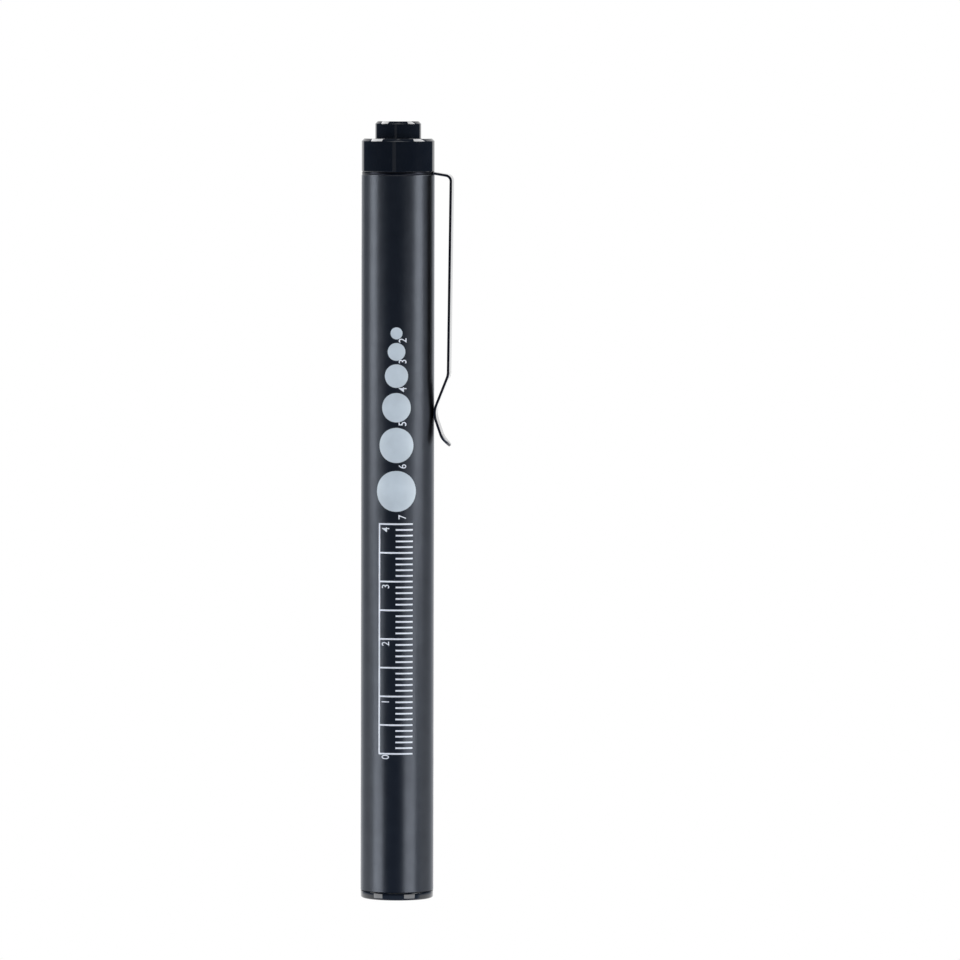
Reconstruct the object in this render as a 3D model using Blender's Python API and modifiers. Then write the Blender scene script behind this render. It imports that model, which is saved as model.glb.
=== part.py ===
"""Diagnostic penlight: a barrel for two AAA cells, a lamp head, a pocket clip and a push-button tail cap.

Metres, +Z up. The barrel's axis is the Z axis. The lamp shines along -Z, and its window is flush with
z = 0, where the light stands on its bezel. The push button is at the top, and the clip is on the +X side.
The length follows from what the barrel holds: lamp head, two cells, battery spring, switch and button.
"""

import bpy
import bmesh
from math import atan2, cos, pi, radians, sin, sqrt, tan
from mathutils import Matrix, Vector

MM = 0.001

# Clearances
SEAT_GAP = 0.05 * MM        # between pieces that rest on or are pressed into each other
SLIDE_GAP = 0.12 * MM       # between the button and its bore
CELL_CLEARANCE = 0.25 * MM  # between a cell and the barrel's bore
THREAD_GAP = 0.10 * MM      # radial, between the cap's thread and the barrel's

# Barrel
BARREL_WALL = 0.85 * MM
BARREL_EDGE = 0.08 * MM     # chamfer on the barrel's two ends

# Cells: the AAA size
CELL_COUNT = 2
CELL_RADIUS = 5.25 * MM
CELL_LENGTH = 44.5 * MM
CELL_NUB_RADIUS = 1.9 * MM
CELL_NUB_HEIGHT = 1.0 * MM
CELL_SLEEVE = 0.15 * MM
CELL_CAN_WALL = 0.25 * MM
CELL_CAN_FLOOR = 0.5 * MM
CELL_SEAL_HEIGHT = 1.9 * MM
CELL_SEAL_WALL = 0.75 * MM
CELL_RIM = 0.3 * MM         # the can's rim stops this far short of the negative plate's face

# Lamp head
BEZEL_HEIGHT = 1.3 * MM
BEZEL_ROUND = 0.35 * MM
SPIGOT_LENGTH = 6.0 * MM    # the bezel's pressed-in part, above its flange
SPIGOT_WALL = 0.65 * MM
LIP_HEIGHT = 1.0 * MM       # the bezel's inner lip, which the window's flange rests on
WINDOW_FLANGE = 0.75 * MM   # both the flange's extra radius and its thickness
REFLECTOR_WALL = 0.4 * MM
REFLECTOR_SLEEVE = 0.75 * MM
LED_RADIUS = 2.5 * MM
LED_RIM = 0.4 * MM          # how far its flange stands out past its body
LED_FLANGE_HEIGHT = 1.0 * MM
LED_LENGTH = 8.6 * MM
LED_TIP_GAP = 1.5 * MM      # from the window's back to the lamp's dome
LEG_SPACING = 2.54 * MM
LEG_THICKNESS = 0.5 * MM
CATHODE_RISE = 2.0 * MM     # how far the earthed leg runs before it turns to the barrel's wall
HOLDER_LENGTH = 15.65 * MM
CONTACT_RADIUS = 4.0 * MM
CONTACT_PLATE = 0.55 * MM
CONTACT_BOSS_RADIUS = 2.0 * MM
CONTACT_BOSS_HEIGHT = 0.7 * MM
CONTACT_STUB_RADIUS = 1.2 * MM
CONTACT_STUB_LENGTH = 2.0 * MM

# Springs
BATTERY_SPRING_LENGTH = 7.25 * MM
BATTERY_SPRING_WIRE = 0.5 * MM
BATTERY_SPRING_NARROW = 2.2 * MM
BATTERY_SPRING_INSET = 0.35 * MM  # from the edge of the cell's plate to the wide end's mean radius
BATTERY_SPRING_TURNS = 5
RETURN_SPRING_LENGTH = 5.9 * MM
RETURN_SPRING_WIRE = 0.4 * MM
RETURN_SPRING_RADIUS = 3.2 * MM
RETURN_SPRING_TURNS = 6

# Switch
RIVET_SHANK_RADIUS = 1.0 * MM
RIVET_LOWER_RADIUS = 2.6 * MM
RIVET_LOWER_HEAD = 0.4 * MM
RIVET_UPPER_RADIUS = 1.9 * MM
RIVET_UPPER_HEAD = 0.35 * MM
BASE_THICKNESS = 2.0 * MM
WASHER_THICKNESS = 0.4 * MM
WASHER_HOLE_RADIUS = 2.6 * MM
RETAINER_HEIGHT = 1.25 * MM
RETAINER_HOLE_RADIUS = 3.1 * MM
RETAINER_SLOT = 0.8 * MM
THIMBLE_WALL = 0.3 * MM
THIMBLE_NOSE = 0.35 * MM
PRESS_TRAVEL = 2.0 * MM

# Button and tail collar
BUTTON_PROUD = 3.0 * MM
BUTTON_CHAMFER = 0.45 * MM
BUTTON_FLANGE = 0.9 * MM
BUTTON_FLANGE_STEP = 0.35 * MM
BUTTON_FLANGE_GAP = 0.1 * MM
STEM_RADIUS = 2.0 * MM
COLLAR_HEIGHT = 5.75 * MM
COLLAR_LIP = 1.5 * MM
COLLAR_CHAMFER = 0.45 * MM
SWITCH_WALL = 0.65 * MM     # the neck's wall round the switch
LEDGE_WIDTH = 0.3 * MM
NECK_SKIRT = 2.25 * MM      # how far the neck reaches below the rivet
RELIEF_DEPTH = 0.25 * MM
RELIEF_LENGTH = 1.35 * MM

# Thread between the tail collar and the barrel, right-handed
THREAD_PITCH = 1.0 * MM
THREAD_HALF = 0.36 * MM     # half the diagonal of its square section
THREAD_SINK = 0.02 * MM     # its centre line lies this far inside the wall that it stands on
THREAD_LEAD = 1.3 * MM      # plain part of the neck below the thread

# Pocket clip
CLIP_THICKNESS = 0.45 * MM
CLIP_WIDTH = 4.0 * MM
CLIP_RING_INSET = 0.05 * MM
CLIP_RING_SPLIT = 1.2 * MM
CLIP_REACH_TOP = 3.03 * MM  # from the barrel's surface to the strip's middle, at the top of the arm
CLIP_REACH_LOW = 2.6 * MM   # the same, at the bottom of the straight stretch
CLIP_DROP = 0.5 * MM        # how far the strip falls before it turns down
CLIP_STRAIGHT = 35.1 * MM
CLIP_PINCH = 41.6 * MM      # from the ring down to where the strip touches the barrel
CLIP_FLARE = 45.9 * MM      # down to where the tail curls further out
CLIP_LENGTH = 47.4 * MM
CLIP_FLARE_REACH = 1.5 * MM
CLIP_TIP_REACH = 2.85 * MM
CLIP_TOP_BEND = 1.0 * MM
CLIP_KNEE_BEND = 3.0 * MM
CLIP_PINCH_BEND = 4.0 * MM
CLIP_FLARE_BEND = 2.5 * MM

# Roundness
OUTER_STEPS = 40
INNER_STEPS = 24
THREAD_STEPS = 24
COIL_STEPS = 12

# Radii that follow
BORE_RADIUS = CELL_RADIUS + CELL_CLEARANCE
BARREL_RADIUS = BORE_RADIUS + BARREL_WALL
FITTED_RADIUS = BORE_RADIUS - SEAT_GAP
WINDOW_SEAT_RADIUS = FITTED_RADIUS - SPIGOT_WALL
REFLECTOR_RADIUS = WINDOW_SEAT_RADIUS - SEAT_GAP
APERTURE_RADIUS = REFLECTOR_RADIUS - WINDOW_FLANGE
LED_HOLE_RADIUS = LED_RADIUS + SEAT_GAP
LED_FLANGE_RADIUS = LED_RADIUS + LED_RIM
NECK_RADIUS = BORE_RADIUS - THREAD_GAP
RELIEF_RADIUS = NECK_RADIUS - RELIEF_DEPTH
LOWER_ROOM_RADIUS = NECK_RADIUS - SWITCH_WALL
UPPER_ROOM_RADIUS = LOWER_ROOM_RADIUS - LEDGE_WIDTH
SWITCH_FITTED_RADIUS = LOWER_ROOM_RADIUS - SEAT_GAP
BUTTON_FLANGE_RADIUS = UPPER_ROOM_RADIUS - BUTTON_FLANGE_GAP
BUTTON_RADIUS = BUTTON_FLANGE_RADIUS - BUTTON_FLANGE_STEP
BUTTON_BORE_RADIUS = BUTTON_RADIUS + SLIDE_GAP
CAN_RADIUS = CELL_RADIUS - CELL_SLEEVE - SEAT_GAP
CAN_ROOM_RADIUS = CAN_RADIUS - CELL_CAN_WALL
CORE_RADIUS = CAN_ROOM_RADIUS - SEAT_GAP
SEAL_HOLE_RADIUS = CORE_RADIUS - CELL_SEAL_WALL
PLATE_RADIUS = SEAL_HOLE_RADIUS - SEAT_GAP
BATTERY_SPRING_WIDE = PLATE_RADIUS - BATTERY_SPRING_INSET

# Heights that follow, from the window up
SPIGOT_TOP = BEZEL_HEIGHT + SPIGOT_LENGTH
WINDOW_BACK = LIP_HEIGHT + SEAT_GAP + WINDOW_FLANGE
REFLECTOR_RIM = WINDOW_BACK + SEAT_GAP
LED_TIP = WINDOW_BACK + LED_TIP_GAP
LED_BASE = LED_TIP + LED_LENGTH
HOLDER_BOTTOM = SPIGOT_TOP + SEAT_GAP
HOLDER_TOP = HOLDER_BOTTOM + HOLDER_LENGTH
CONTACT_BOTTOM = HOLDER_TOP + SEAT_GAP
STUB_END = CONTACT_BOTTOM - CONTACT_STUB_LENGTH
CONTACT_TOP = CONTACT_BOTTOM + CONTACT_PLATE + CONTACT_BOSS_HEIGHT
CELL_PITCH = CELL_LENGTH + SEAT_GAP
CELLS_BOTTOM = CONTACT_TOP + SEAT_GAP
CELLS_TOP = CELLS_BOTTOM + CELL_COUNT * CELL_PITCH - SEAT_GAP
BATTERY_SPRING_TOP = CELLS_TOP + SEAT_GAP + BATTERY_SPRING_LENGTH
RIVET_BOTTOM = BATTERY_SPRING_TOP + SEAT_GAP
BASE_BOTTOM = RIVET_BOTTOM + RIVET_LOWER_HEAD + SEAT_GAP
BASE_TOP = BASE_BOTTOM + BASE_THICKNESS
WASHER_TOP = BASE_TOP + SEAT_GAP + WASHER_THICKNESS
LEDGE_HEIGHT = WASHER_TOP + SEAT_GAP
RIVET_TOP = BASE_TOP + SEAT_GAP + RIVET_UPPER_HEAD
NOSE_BOTTOM = RIVET_TOP + PRESS_TRAVEL + SEAT_GAP
RETURN_SPRING_TOP = WASHER_TOP + SEAT_GAP + RETURN_SPRING_LENGTH
THIMBLE_TOP = RETURN_SPRING_TOP + SEAT_GAP + THIMBLE_WALL
FLANGE_BOTTOM = THIMBLE_TOP + SEAT_GAP
LIP_BOTTOM = FLANGE_BOTTOM + BUTTON_FLANGE + SEAT_GAP
COLLAR_TOP = LIP_BOTTOM + COLLAR_LIP
BUTTON_TOP = COLLAR_TOP + BUTTON_PROUD
COLLAR_BOTTOM = COLLAR_TOP - COLLAR_HEIGHT
CLIP_RING_TOP = COLLAR_BOTTOM - SEAT_GAP
CLIP_LEVEL = CLIP_RING_TOP - CLIP_THICKNESS / 2
BARREL_TOP = CLIP_RING_TOP - CLIP_THICKNESS - SEAT_GAP
BARREL_BOTTOM = BEZEL_HEIGHT + SEAT_GAP
NECK_BOTTOM = RIVET_BOTTOM - NECK_SKIRT
RETAINER_TOP = BASE_BOTTOM - SEAT_GAP
THREAD_BOTTOM = NECK_BOTTOM + THREAD_LEAD
THREAD_TOP = COLLAR_BOTTOM - RELIEF_LENGTH - THREAD_HALF
CLIP_ROOT = BARREL_RADIUS - CLIP_RING_INSET + SEAT_GAP
CLIP_RING_TAB = CLIP_ROOT - SEAT_GAP


# ---------------------------------------------------------------- scene

def clear_scene():
    for item in list(bpy.data.objects):
        bpy.data.objects.remove(item, do_unlink=True)


def new_collection(name):
    group = bpy.data.collections.new(name)
    bpy.context.scene.collection.children.link(group)
    return group


def move_to(item, group):
    for old in list(item.users_collection):
        old.objects.unlink(item)
    group.objects.link(item)


def principled(name, colour, metallic, roughness, transmission=0.0):
    material = bpy.data.materials.new(name)
    material.use_nodes = True
    shader = material.node_tree.nodes["Principled BSDF"]
    shader.inputs["Base Color"].default_value = (*colour, 1.0)
    shader.inputs["Metallic"].default_value = metallic
    shader.inputs["Roughness"].default_value = roughness
    shader.inputs["Transmission Weight"].default_value = transmission
    return material


# ---------------------------------------------------------------- modelling helpers

def turned(name, profile, steps, material=None, group=None):
    """A turned piece. Its profile of (radius, height) runs down the outer side, then back up the inside.

    A profile that starts and ends on the axis is a solid piece, and any other is closed into a ring.
    """
    mesh = bpy.data.meshes.new(name)
    edges = [(i, i + 1) for i in range(len(profile) - 1)]
    if profile[0][0] > 0 or profile[-1][0] > 0:
        edges.append((len(profile) - 1, 0))
    mesh.from_pydata([(radius, 0, height) for radius, height in profile], edges, [])
    item = bpy.data.objects.new(name, mesh)
    (group or PARTS).objects.link(item)
    screw = item.modifiers.new("Turn", "SCREW")
    screw.axis = "Z"
    screw.angle = 2 * pi
    screw.steps = steps
    screw.render_steps = steps
    screw.use_merge_vertices = True
    screw.merge_threshold = 0.00001
    if material:
        mesh.materials.append(material)
    return item


def round_edge(centre, radius, start, end, steps=3):
    """Points of an arc about centre, from start to end degrees, measured from +radius towards +height."""
    angles = [radians(start + (end - start) * i / steps) for i in range(steps + 1)]
    return [(centre[0] + radius * cos(a), centre[1] + radius * sin(a)) for a in angles]


def box(name, low, high, group):
    """A box between two corners."""
    bpy.ops.mesh.primitive_cube_add(size=1)
    item = bpy.context.object
    item.name = name
    for vertex in item.data.vertices:
        for i in range(3):
            vertex.co[i] = low[i] + (vertex.co[i] + 0.5) * (high[i] - low[i])
    move_to(item, group)
    return item


def guide(item):
    """Marks an object as a tool for Boolean modifiers, not a piece."""
    item.hide_render = True
    item.display_type = "WIRE"
    return item


def combine(item, operation, tool):
    modifier = item.modifiers.new(operation.title(), "BOOLEAN")
    modifier.operation = operation
    modifier.solver = "EXACT"
    modifier.object = guide(tool)


def wire(name, points, radius, sides_level, material=None, group=None, swell=None):
    """A round wire through points, made a mesh so that it can be cut and joined.

    sides_level 0, 1 and 2 give four, six and eight sides; swell scales the radius at each point.
    """
    curve = bpy.data.curves.new(name, "CURVE")
    curve.dimensions = "3D"
    curve.twist_mode = "Z_UP"
    curve.bevel_depth = radius
    curve.bevel_resolution = sides_level
    curve.use_fill_caps = True
    spline = curve.splines.new("POLY")
    spline.points.add(len(points) - 1)
    for i, point in enumerate(points):
        spline.points[i].co = (*point, 1)
        spline.points[i].radius = swell[i] if swell else 1
    source = bpy.data.objects.new(name + "_curve", curve)
    PARTS.objects.link(source)
    bpy.context.view_layer.update()
    evaluated = source.evaluated_get(bpy.context.evaluated_depsgraph_get())
    mesh = bpy.data.meshes.new_from_object(evaluated)
    mesh.name = name
    bpy.data.objects.remove(source, do_unlink=True)
    weld(mesh)
    item = bpy.data.objects.new(name, mesh)
    (group or PARTS).objects.link(item)
    if material:
        mesh.materials.clear()
        mesh.materials.append(material)
    return item


def weld(mesh):
    """Joins a wire's caps to its wall and turns its faces outwards."""
    work = bmesh.new()
    work.from_mesh(mesh)
    bmesh.ops.remove_doubles(work, verts=work.verts, dist=0.000001)
    bmesh.ops.recalc_face_normals(work, faces=work.faces)
    work.to_mesh(mesh)
    work.free()


def helix(radius, bottom, top, pitch, steps):
    """A right-handed helix's points; every thread made with it is in mesh with the others of its pitch."""
    count = round((top - bottom) / pitch * steps)
    points = []
    for i in range(count + 1):
        height = bottom + (top - bottom) * i / count
        angle = 2 * pi * height / pitch
        points.append((radius * cos(angle), radius * sin(angle), height))
    return points


def thread(name, radius, bottom, top):
    """A thread's square-section ridge, standing on a wall of this radius, thinner at its two ends."""
    points = helix(radius - THREAD_SINK, bottom, top, THREAD_PITCH, THREAD_STEPS)
    runout = THREAD_STEPS / 3
    last = len(points) - 1
    swell = [min(1, (min(i, last - i) + 1) / runout) for i in range(last + 1)]
    return wire(name, points, THREAD_HALF + THREAD_SINK, 0, group=TOOLS, swell=swell)


def coil(name, bottom, top, wire_size, low_radius, high_radius, turns, material):
    """A compression spring with a closed turn at each end, between two heights."""
    low = bottom + wire_size / 2
    high = top - wire_size / 2
    dead = wire_size * 1.15
    climb = high - low - 2 * dead
    points = []
    count = turns * COIL_STEPS
    for i in range(count + 1):
        turn = i / COIL_STEPS
        share = min(max((turn - 1) / (turns - 2), 0), 1)
        height = low + dead * (min(turn, 1) + max(turn - turns + 1, 0)) + climb * share
        radius = low_radius + (high_radius - low_radius) * share
        points.append((radius * cos(2 * pi * turn), radius * sin(2 * pi * turn), height))
    return wire(name, points, wire_size / 2, 1, material)


def rounded_path(corners, bends, steps=5):
    """A path through corners in a plane, with each inner corner replaced by an arc of its bend radius."""
    path = [Vector(corners[0])]
    for before, corner, after, bend in zip(corners, corners[1:], corners[2:], bends):
        corner = Vector(corner)
        back = (Vector(before) - corner).normalized()
        ahead = (Vector(after) - corner).normalized()
        half = back.angle(ahead) / 2
        run = bend / tan(half)
        centre = corner + (back + ahead).normalized() * (bend / sin(half))
        first = corner + back * run - centre
        last = corner + ahead * run - centre
        turn = atan2(first.x * last.y - first.y * last.x, first.dot(last))
        for i in range(steps + 1):
            path.append(centre + Matrix.Rotation(turn * i / steps, 2) @ first)
    path.append(Vector(corners[-1]))
    return path


# ---------------------------------------------------------------- barrel and lamp head

def make_barrel(material):
    profile = [
        (BARREL_RADIUS - BARREL_EDGE, BARREL_TOP),
        (BARREL_RADIUS, BARREL_TOP - BARREL_EDGE),
        (BARREL_RADIUS, BARREL_BOTTOM + BARREL_EDGE),
        (BARREL_RADIUS - BARREL_EDGE, BARREL_BOTTOM),
        (BORE_RADIUS, BARREL_BOTTOM),
        (BORE_RADIUS, BARREL_TOP),
    ]
    barrel = turned("barrel_tube", profile, OUTER_STEPS, material)
    bottom = THREAD_BOTTOM - THREAD_PITCH
    top = BARREL_TOP + THREAD_PITCH
    combine(barrel, "DIFFERENCE", thread("barrel_thread_cutter", BORE_RADIUS, bottom, top))
    return barrel


def make_bezel(material):
    foot = round_edge((BARREL_RADIUS - BEZEL_ROUND, BEZEL_ROUND), BEZEL_ROUND, 0, -90)
    profile = [
        (FITTED_RADIUS, SPIGOT_TOP),
        (FITTED_RADIUS, BEZEL_HEIGHT),
        (BARREL_RADIUS, BEZEL_HEIGHT),
        *foot,
        (APERTURE_RADIUS, 0),
        (APERTURE_RADIUS, LIP_HEIGHT),
        (WINDOW_SEAT_RADIUS, LIP_HEIGHT),
        (WINDOW_SEAT_RADIUS, SPIGOT_TOP),
    ]
    return turned("head_bezel", profile, OUTER_STEPS, material)


def make_window(material):
    boss = APERTURE_RADIUS - SEAT_GAP
    flange = REFLECTOR_RADIUS
    step = LIP_HEIGHT + SEAT_GAP
    profile = [(0, WINDOW_BACK), (flange, WINDOW_BACK), (flange, step), (boss, step), (boss, 0), (0, 0)]
    return turned("lamp_window", profile, OUTER_STEPS, material)


def make_reflector(material):
    """A cone that opens on the window, with a short sleeve round the lamp."""
    sleeve = LED_HOLE_RADIUS + REFLECTOR_WALL
    throat = SPIGOT_TOP - REFLECTOR_SLEEVE
    profile = [
        (sleeve, SPIGOT_TOP),
        (sleeve, throat),
        (REFLECTOR_RADIUS, REFLECTOR_RIM + REFLECTOR_WALL),
        (REFLECTOR_RADIUS, REFLECTOR_RIM),
        (REFLECTOR_RADIUS - REFLECTOR_WALL, REFLECTOR_RIM),
        (LED_HOLE_RADIUS, throat),
        (LED_HOLE_RADIUS, SPIGOT_TOP),
    ]
    return turned("reflector", profile, INNER_STEPS, material)


def make_lamp(material):
    """A 5 mm lamp: a flange at the back, a round body and a domed front, which points down."""
    seat = LED_BASE - LED_FLANGE_HEIGHT
    dome = round_edge((0, LED_TIP + LED_RADIUS), LED_RADIUS, 0, -90, steps=6)
    profile = [
        (0, LED_BASE),
        (LED_FLANGE_RADIUS, LED_BASE),
        (LED_FLANGE_RADIUS, seat),
        (LED_RADIUS, seat),
        *dome[:-1],
        (0, LED_TIP),
    ]
    return turned("led_lamp", profile, INNER_STEPS, material)


def make_anode_leg(material):
    start = LED_BASE + SEAT_GAP
    top = STUB_END - SEAT_GAP - LEG_THICKNESS / 2
    points = [(0, LEG_SPACING / 2, start), (0, LEG_SPACING / 2, top), (0, -LEG_THICKNESS, top)]
    return wire("led_anode_leg", points, LEG_THICKNESS / 2, 1, material)


def make_cathode_leg(material):
    start = LED_BASE + SEAT_GAP
    top = LED_BASE + CATHODE_RISE
    wall = BORE_RADIUS - SEAT_GAP * 2
    points = [(0, -LEG_SPACING / 2, start), (0, -LEG_SPACING / 2, top), (0, -wall, top)]
    return wire("led_cathode_leg", points, LEG_THICKNESS / 2, 1, material)


def make_holder(material):
    """An insulating plug with a stepped bore for the lamp and a side slot for its earthed leg."""
    seat = LED_BASE - LED_FLANGE_HEIGHT - SEAT_GAP
    pocket = LED_FLANGE_RADIUS + SEAT_GAP
    profile = [
        (FITTED_RADIUS, HOLDER_TOP),
        (FITTED_RADIUS, HOLDER_BOTTOM),
        (LED_HOLE_RADIUS, HOLDER_BOTTOM),
        (LED_HOLE_RADIUS, seat),
        (pocket, seat),
        (pocket, HOLDER_TOP),
    ]
    holder = turned("lamp_holder", profile, INNER_STEPS, material)
    slot_half = LEG_THICKNESS / 2 + SEAT_GAP
    middle = LED_BASE + CATHODE_RISE
    low = (-slot_half, -BARREL_RADIUS, middle - slot_half)
    high = (slot_half, -LEG_SPACING / 2, middle + slot_half)
    combine(holder, "DIFFERENCE", box("holder_slot_cutter", low, high, TOOLS))
    return holder


def make_head_contact(material):
    plate_top = CONTACT_BOTTOM + CONTACT_PLATE
    profile = [
        (0, CONTACT_TOP),
        (CONTACT_BOSS_RADIUS, CONTACT_TOP),
        (CONTACT_BOSS_RADIUS, plate_top),
        (CONTACT_RADIUS, plate_top),
        (CONTACT_RADIUS, CONTACT_BOTTOM),
        (CONTACT_STUB_RADIUS, CONTACT_BOTTOM),
        (CONTACT_STUB_RADIUS, STUB_END),
        (0, STUB_END),
    ]
    return turned("head_contact", profile, INNER_STEPS, material)


# ---------------------------------------------------------------- cells

def make_cell(prefix, nub, materials):
    """One cell, positive nub down at height nub: can, core, seal, negative plate and sleeve."""
    shoulder = nub + CELL_NUB_HEIGHT
    floor = shoulder + CELL_CAN_FLOOR
    top = nub + CELL_LENGTH
    rim = top - CELL_RIM
    can = [
        (0, floor),
        (CAN_ROOM_RADIUS, floor),
        (CAN_ROOM_RADIUS, rim),
        (CAN_RADIUS, rim),
        *round_edge((CAN_RADIUS - CELL_CAN_FLOOR, floor), CELL_CAN_FLOOR, 0, -90),
        (CELL_NUB_RADIUS, shoulder),
        (CELL_NUB_RADIUS, nub),
        (0, nub),
    ]
    turned(prefix + "_can", can, INNER_STEPS, materials["steel"])
    core_bottom = floor + SEAT_GAP
    core_top = rim - CELL_SEAL_HEIGHT - SEAT_GAP
    core = [(0, core_top), (CORE_RADIUS, core_top), (CORE_RADIUS, core_bottom), (0, core_bottom)]
    turned(prefix + "_core", core, INNER_STEPS, materials["core"])
    seal_bottom = core_top + SEAT_GAP
    hole = SEAL_HOLE_RADIUS
    seal = [(CORE_RADIUS, rim), (CORE_RADIUS, seal_bottom), (hole, seal_bottom), (hole, rim)]
    turned(prefix + "_seal", seal, INNER_STEPS, materials["nylon"])
    plate = [(0, top), (PLATE_RADIUS, top), (PLATE_RADIUS, seal_bottom), (0, seal_bottom)]
    turned(prefix + "_negative_plate", plate, INNER_STEPS, materials["steel"])
    inner = CAN_RADIUS + SEAT_GAP
    sleeve_bottom = floor + SEAT_GAP
    sleeve = [(CELL_RADIUS, rim), (CELL_RADIUS, sleeve_bottom), (inner, sleeve_bottom), (inner, rim)]
    turned(prefix + "_sleeve", sleeve, INNER_STEPS, materials["sleeve"])


# ---------------------------------------------------------------- tail cap

def make_collar(material):
    """The gloss collar with its threaded neck, the button's bore and the room for the switch."""
    profile = [
        (BARREL_RADIUS - COLLAR_CHAMFER, COLLAR_TOP),
        (BARREL_RADIUS, COLLAR_TOP - COLLAR_CHAMFER),
        (BARREL_RADIUS, COLLAR_BOTTOM + BARREL_EDGE),
        (BARREL_RADIUS - BARREL_EDGE, COLLAR_BOTTOM),
        (RELIEF_RADIUS, COLLAR_BOTTOM),
        (RELIEF_RADIUS, COLLAR_BOTTOM - RELIEF_LENGTH),
        (NECK_RADIUS, COLLAR_BOTTOM - RELIEF_LENGTH),
        (NECK_RADIUS, NECK_BOTTOM + BARREL_EDGE),
        (NECK_RADIUS - BARREL_EDGE, NECK_BOTTOM),
        (LOWER_ROOM_RADIUS, NECK_BOTTOM),
        (LOWER_ROOM_RADIUS, LEDGE_HEIGHT),
        (UPPER_ROOM_RADIUS, LEDGE_HEIGHT),
        (UPPER_ROOM_RADIUS, LIP_BOTTOM),
        (BUTTON_BORE_RADIUS, LIP_BOTTOM),
        (BUTTON_BORE_RADIUS, COLLAR_TOP - BARREL_EDGE),
        (BUTTON_BORE_RADIUS + BARREL_EDGE, COLLAR_TOP),
    ]
    collar = turned("tail_collar", profile, OUTER_STEPS, material)
    combine(collar, "UNION", thread("collar_thread_ridge", NECK_RADIUS, THREAD_BOTTOM, THREAD_TOP))
    return collar


def make_button(material):
    """The button's cap, the flange that keeps it in the collar, and the stem that pushes the switch."""
    flange_top = FLANGE_BOTTOM + BUTTON_FLANGE
    stem_end = NOSE_BOTTOM + THIMBLE_NOSE + SEAT_GAP
    profile = [
        (0, BUTTON_TOP),
        (BUTTON_RADIUS - BUTTON_CHAMFER, BUTTON_TOP),
        (BUTTON_RADIUS, BUTTON_TOP - BUTTON_CHAMFER),
        (BUTTON_RADIUS, flange_top),
        (BUTTON_FLANGE_RADIUS, flange_top),
        (BUTTON_FLANGE_RADIUS, FLANGE_BOTTOM),
        (STEM_RADIUS, FLANGE_BOTTOM),
        (STEM_RADIUS, stem_end),
        (0, stem_end),
    ]
    return turned("push_button", profile, OUTER_STEPS, material)


def make_thimble(material):
    """The moving contact: a flanged brass cup pressed on the stem, which the return spring lifts."""
    inner = STEM_RADIUS + SEAT_GAP
    outer = inner + THIMBLE_WALL
    profile = [
        (0, NOSE_BOTTOM + THIMBLE_NOSE),
        (inner, NOSE_BOTTOM + THIMBLE_NOSE),
        (inner, THIMBLE_TOP),
        (BUTTON_FLANGE_RADIUS, THIMBLE_TOP),
        (BUTTON_FLANGE_RADIUS, THIMBLE_TOP - THIMBLE_WALL),
        (outer, THIMBLE_TOP - THIMBLE_WALL),
        (outer, NOSE_BOTTOM),
        (0, NOSE_BOTTOM),
    ]
    return turned("moving_contact", profile, INNER_STEPS, material)


def make_ground_washer(material):
    bottom = WASHER_TOP - WASHER_THICKNESS
    outer = SWITCH_FITTED_RADIUS
    hole = WASHER_HOLE_RADIUS
    profile = [(outer, WASHER_TOP), (outer, bottom), (hole, bottom), (hole, WASHER_TOP)]
    return turned("earth_washer", profile, INNER_STEPS, material)


def make_switch_base(material):
    hole = RIVET_SHANK_RADIUS + SEAT_GAP
    outer = SWITCH_FITTED_RADIUS
    profile = [(outer, BASE_TOP), (outer, BASE_BOTTOM), (hole, BASE_BOTTOM), (hole, BASE_TOP)]
    return turned("switch_base", profile, INNER_STEPS, material)


def make_rivet(material):
    upper = RIVET_TOP - RIVET_UPPER_HEAD
    lower = RIVET_BOTTOM + RIVET_LOWER_HEAD
    profile = [
        (0, RIVET_TOP),
        (RIVET_UPPER_RADIUS, RIVET_TOP),
        (RIVET_UPPER_RADIUS, upper),
        (RIVET_SHANK_RADIUS, upper),
        (RIVET_SHANK_RADIUS, lower),
        (RIVET_LOWER_RADIUS, lower),
        (RIVET_LOWER_RADIUS, RIVET_BOTTOM),
        (0, RIVET_BOTTOM),
    ]
    return turned("contact_rivet", profile, INNER_STEPS, material)


def make_retainer(material):
    """The ring that holds the switch in the neck, with a slot across it for a spanner."""
    outer = SWITCH_FITTED_RADIUS
    bottom = RETAINER_TOP - RETAINER_HEIGHT
    inner = RETAINER_HOLE_RADIUS
    profile = [(outer, RETAINER_TOP), (outer, bottom), (inner, bottom), (inner, RETAINER_TOP)]
    ring = turned("switch_retainer", profile, INNER_STEPS, material)
    half = RETAINER_SLOT / 2
    low = (-BARREL_RADIUS, -half, bottom - half)
    high = (BARREL_RADIUS, half, bottom + RETAINER_HEIGHT / 2)
    combine(ring, "DIFFERENCE", box("retainer_slot_cutter", low, high, TOOLS))
    return ring


# ---------------------------------------------------------------- pocket clip

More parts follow.
